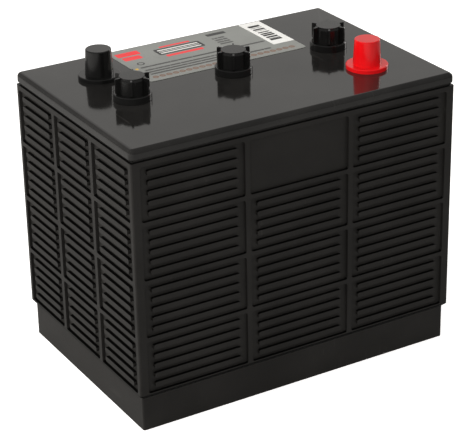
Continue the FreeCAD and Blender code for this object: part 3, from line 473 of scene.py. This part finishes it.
def makeStickerPaper():
    # white paper with plain bars and the faint fibre of the sheet
    given = stickerSettings
    material, tree, shader, vector = startMaterial("sticker paper", roughness=given["roughness"])
    fibre = noise(tree, vector, given["fibreScale"], given["fibreDetail"], given["fibreRoughness"])
    tone = blendColor(tree, ramp(tree, fibre, *given["fibre"]), given["paperShade"], given["paper"])
    for y, halfWidth in given["bars"]:
        mask = patch(tree, vector, given["middleX"], y, given["halfLength"], halfWidth, given["edge"])
        tone = blendColor(tree, mask, tone, given["ink"])
    tree.links.new(tone, shader["Base Color"])
    addBump(tree, shader, fibre, given["bump"], given["bumpDepth"])
    return material


def rgb(level, warm=0.0):
    return (level * (1 + warm), level, level * (1 - warm), 1)


# for a plastic: name, deep, pale and dusty colour, least and most roughness, scale of the grain and its bump;
# for lead: name, deep, pale and oxide colour, scale of the clouds
materials = {
    "case_plastic": makePlastic("grained case plastic", rgb(0.0125, 0.045), rgb(0.0165, 0.045),
                                rgb(0.10, 0.05), (0.36, 0.48), 1500.0, 0.3, wave=0.4, scuff=0.35, dust=0.04,
                                # painted shade: the near-black colour of the up- and down-facing walls stands
                                # in for their dark shading
                                ior=1.27, paintedWallShade=rgb(0.002, 0.03),
                                # painted shade: the colour is darkened between these heights, under the step
                                # of the base and in the seam under the cover
                                paintedShadeBands=((26.1, 29.4), (205.6, 208.0))),
    "cover_plastic": makePlastic("glossy cover plastic", rgb(0.008, 0.03), rgb(0.012, 0.03), rgb(0.12, 0.05),
                                 (0.06, 0.11), 1500.0, 0.02, wave=0.4, scuff=0.3, dust=0.05),
    "red_cap_plastic": makePlastic("red cap plastic", (0.56, 0.0015, 0.003, 1), (0.66, 0.002, 0.005, 1),
                                   (0.8, 0.3, 0.3, 1), (0.12, 0.2), 1400.0, 0.05, scuff=0.3, dust=0.04),
    "black_cap_plastic": makePlastic("black cap plastic", rgb(0.004), rgb(0.006), rgb(0.08, 0.03),
                                     (0.16, 0.24), 1400.0, 0.05, scuff=0.3, dust=0.03),
    "vent_plastic": makePlastic("vent plug plastic", rgb(0.003), rgb(0.005), rgb(0.08, 0.03),
                                (0.16, 0.24), 1600.0, 0.06, scuff=0.3, dust=0.03),
    "gasket_rubber": makePlastic("gasket rubber", rgb(0.018), rgb(0.03), rgb(0.15), (0.6, 0.75), 2200.0, 0.3,
                                 scuff=0.2, dust=0.15),
    "baffle_plastic": makePlastic("natural plastic", (0.5, 0.49, 0.45, 1), (0.6, 0.59, 0.55, 1),
                                  (0.5, 0.48, 0.42, 1), (0.35, 0.45), 1200.0, 0.15, scuff=0.2, dust=0.1),
    "label_film": makeLabelFilm(),
    "sticker_paper": makeStickerPaper(),
    "arrestor_stone": makeArrestorStone(),
    "separator_sheet": makeSeparatorSheet(),
    "positive_paste": makePaste("positive paste", (0.09, 0.04, 0.022, 1), (0.19, 0.1, 0.06, 1)),
    "negative_paste": makePaste("negative paste", (0.22, 0.23, 0.24, 1), (0.38, 0.39, 0.4, 1)),
    "strap_lead": makeLead("cast strap lead", (0.2, 0.2, 0.21, 1), (0.36, 0.36, 0.38, 1),
                           (0.3, 0.29, 0.27, 1), 90.0),
    "terminal_lead": makeLead("terminal lead", (0.26, 0.26, 0.28, 1), (0.45, 0.45, 0.47, 1),
                              (0.4, 0.39, 0.36, 1), 120.0),
}
print("materials made:", len(materials))


def dress(piece, material):
    if piece.material_slots:
        for holder in piece.material_slots:
            holder.material = material
    else:
        piece.data.materials.append(material)


for node, slotName in slotOf.items():
    dress(nodes[node], materials[slotName])
print("every CAD node has its material")


# pieces with softened edges

def pickOnly(piece):
    if bpy.context.object and bpy.context.object.mode != "OBJECT":
        bpy.ops.object.mode_set(mode="OBJECT")
    bpy.ops.object.select_all(action="DESELECT")
    piece.select_set(True)
    bpy.context.view_layer.objects.active = piece


# joining distance in metres, angles in degrees
softSettings = {"join": 0.000004, "flat": 0.6, "sharp": 25.0, "smooth": 35, "weight": 100}


def softenedCopy(node, name, width, segments):
    # a copy of a CAD node with its loose triangles joined, flat faces made whole and sharp edges rounded
    piece = bpy.data.objects.new(name, nodes[node].data.copy())
    bpy.context.scene.collection.objects.link(piece)
    pickOnly(piece)
    bpy.ops.object.mode_set(mode="EDIT")
    bpy.ops.mesh.select_all(action="SELECT")
    bpy.ops.mesh.remove_doubles(threshold=softSettings["join"])
    bpy.ops.mesh.customdata_custom_splitnormals_clear()
    flat = math.radians(softSettings["flat"])
    bpy.ops.mesh.dissolve_limited(angle_limit=flat, use_dissolve_boundaries=False)
    bpy.ops.object.mode_set(mode="OBJECT")
    edges = piece.modifiers.new("soft edges", "BEVEL")
    edges.width = width
    edges.segments = segments
    edges.limit_method = "ANGLE"
    edges.angle_limit = math.radians(softSettings["sharp"])
    edges.use_clamp_overlap = True
    edges.harden_normals = False
    bpy.ops.object.modifier_apply(modifier=edges.name)
    bpy.ops.object.shade_smooth_by_angle(angle=math.radians(softSettings["smooth"]))
    evened = piece.modifiers.new("even shading", "WEIGHTED_NORMAL")
    evened.weight = softSettings["weight"]
    evened.keep_sharp = True
    bpy.ops.object.modifier_apply(modifier=evened.name)
    dress(piece, materials[slotOf[node]])
    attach(piece, bodyOf[node])
    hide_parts(node)
    return piece


edgeSettings = {
    "case": {"node": "container", "width": 0.00013, "segments": 1},
    "lid": {"node": "cover", "width": 0.0003, "segments": 2},
    "ventCap1": {"node": "vent_plug_1", "width": 0.00022, "segments": 2},
    "ventCap2": {"node": "vent_plug_2", "width": 0.00022, "segments": 2},
    "ventCap3": {"node": "vent_plug_3", "width": 0.00022, "segments": 2},
    "positiveCap": {"node": "positive_terminal_cover", "width": 0.00025, "segments": 2},
    "negativeCap": {"node": "negative_terminal_cover", "width": 0.00025, "segments": 2},
}
for name, given in edgeSettings.items():
    made = softenedCopy(given["node"], name, given["width"], given["segments"])
    print(name, "has", len(made.data.polygons), "faces")


# camera, floor and lights

# place in metres, turn in degrees, lens and sensor in mm, nearest and farthest distance shown in metres
cameraSettings = {"place": (-0.64183, -1.09315, 0.69357), "turn": (64.772, 0.9594, -30.906), "lens": 141.63,
                  "sensor": 36.0, "near": 0.01, "far": 50.0}
camera = bpy.data.objects.new("camera", bpy.data.cameras.new("camera"))
bpy.context.scene.collection.objects.link(camera)
camera.location = cameraSettings["place"]
camera.rotation_euler = Euler([math.radians(angle) for angle in cameraSettings["turn"]])
camera.data.lens = cameraSettings["lens"]
camera.data.sensor_width = cameraSettings["sensor"]
camera.data.clip_start = cameraSettings["near"]
camera.data.clip_end = cameraSettings["far"]
bpy.context.scene.camera = camera

# shown is the grey that the camera sees, bounced is the grey for every other ray
floorSettings = {"size": 14.0, "height": -0.0002, "shown": 0.96, "bounced": 0.38, "glow": 0.55,
                 "roughness": 0.9, "cloudScale": 3.0, "cloudDetail": 2.0, "cloudShare": 0.01, "cloud": 0.8}


def makeFloor():
    bpy.ops.object.select_all(action="DESELECT")
    bpy.ops.mesh.primitive_plane_add(size=floorSettings["size"], location=(0, 0, floorSettings["height"]))
    floor = bpy.context.object
    floor.name = "floor"
    material, tree, shader, vector = startMaterial("studio floor", roughness=floorSettings["roughness"])
    path = tree.nodes.new("ShaderNodeLightPath")
    shown, bounced = rgb(floorSettings["shown"]), rgb(floorSettings["bounced"])
    soft = noise(tree, vector, floorSettings["cloudScale"], floorSettings["cloudDetail"])
    faint = calc(tree, "MULTIPLY", soft, floorSettings["cloudShare"])
    tone = blendColor(tree, path.outputs["Is Camera Ray"], bounced, shown)
    tone = blendColor(tree, faint, tone, rgb(floorSettings["cloud"]))
    tree.links.new(tone, shader["Base Color"])
    shader["Specular IOR Level"].default_value = 0.0
    shader["Emission Color"].default_value = rgb(1.0)
    glow = calc(tree, "MULTIPLY", path.outputs["Is Camera Ray"], floorSettings["glow"])
    plug(tree, glow, shader["Emission Strength"])
    floor.data.materials.append(material)


makeFloor()

lampColor = (1.0, 0.975, 0.93)
# place, target, width, height, strength in watts, and whether gloss mirrors it
lightSettings = {
    "overhead": ((-0.2, -0.1, 1.7), (0, 0, 0.1), 1.3, 1.3, 14.0, False),
    "frontFill": ((-1.0, -1.7, 0.9), (0, 0, 0.12), 1.4, 1.4, 26.0, False),
    "backPanel": ((1.05, 1.79, 1.0), (0, 0, 0.2), 2.8, 1.7, 5.8, True),
    "leftPanel": ((-1.9, 0.5, 0.5), (-0.1, 0, 0.12), 1.6, 0.9, 50.0, False),
    "rightStrip": ((1.3, 0.35, 0.7), (0, 0, 0.2), 0.25, 0.5, 3.0, True),
}
for name, (place, target, width, height, watts, mirrored) in lightSettings.items():
    lamp = bpy.data.lights.new(name, "AREA")
    lamp.shape = "RECTANGLE"
    lamp.size, lamp.size_y, lamp.energy = width, height, watts
    lamp.color = lampColor
    holder = bpy.data.objects.new(name, lamp)
    bpy.context.scene.collection.objects.link(holder)
    holder.location = place
    holder.rotation_euler = (Vector(target) - Vector(place)).to_track_quat("-Z", "Y").to_euler()
    holder.visible_camera = False
    holder.visible_glossy = mirrored

# strength of the sky on the object, and as the camera sees it
skySettings = {"color": (1, 0.985, 0.96, 1), "onObject": 0.24, "shown": 1.0}
world = bpy.data.worlds.new("studio")
bpy.context.scene.world = world
world.use_nodes = True
sky = world.node_tree.nodes["Background"].inputs
skyPath = world.node_tree.nodes.new("ShaderNodeLightPath").outputs["Is Camera Ray"]
sky["Color"].default_value = skySettings["color"]
skyStrength = ramp(world.node_tree, skyPath, 0.0, 1.0, skySettings["onObject"], skySettings["shown"])
plug(world.node_tree, skyStrength, sky["Strength"])
bpy.context.scene.view_settings.view_transform = "Standard"
print("camera, floor and lights are in place")
